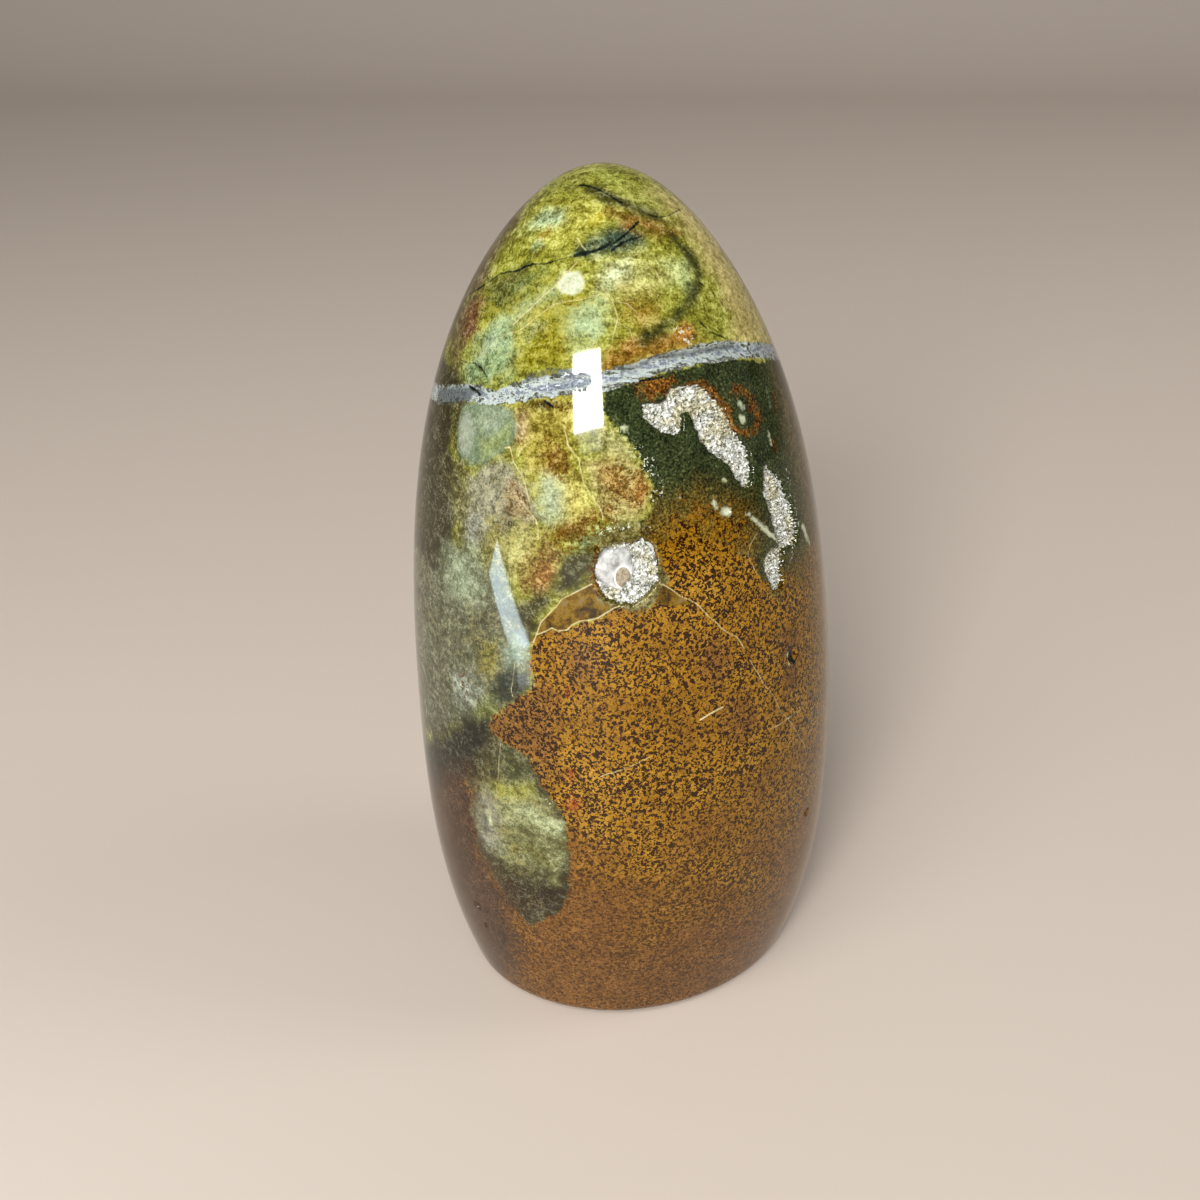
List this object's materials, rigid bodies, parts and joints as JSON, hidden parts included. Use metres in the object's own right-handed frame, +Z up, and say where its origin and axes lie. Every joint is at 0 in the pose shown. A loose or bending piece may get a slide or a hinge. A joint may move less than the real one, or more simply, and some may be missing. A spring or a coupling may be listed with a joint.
{
  "type": "green opal freeform",
  "caption": "Polished upright egg-shaped stone on a small flat foot, mottled green opal over ochre jasper, with quartz-lined hollows and a pale vein across it.",
  "frame": {"origin": "on the surface that the stone stands on, under the middle of its box", "axes": "+Z up along the stone's height, -Y towards the front, which has the vein and the hollows, +X to the right seen from the front"},
  "size_m": [0.0768, 0.0699, 0.15],
  "materials": {
    "polished_opal": "high polish",
    "quartz_druse": "small rough crystals"
  },
  "bodies": {
    "root": {"stone": "polished_opal", "druse_upper": "quartz_druse", "druse_right": "quartz_druse", "druse_centre": "quartz_druse"}
  },
  "joints": []
}
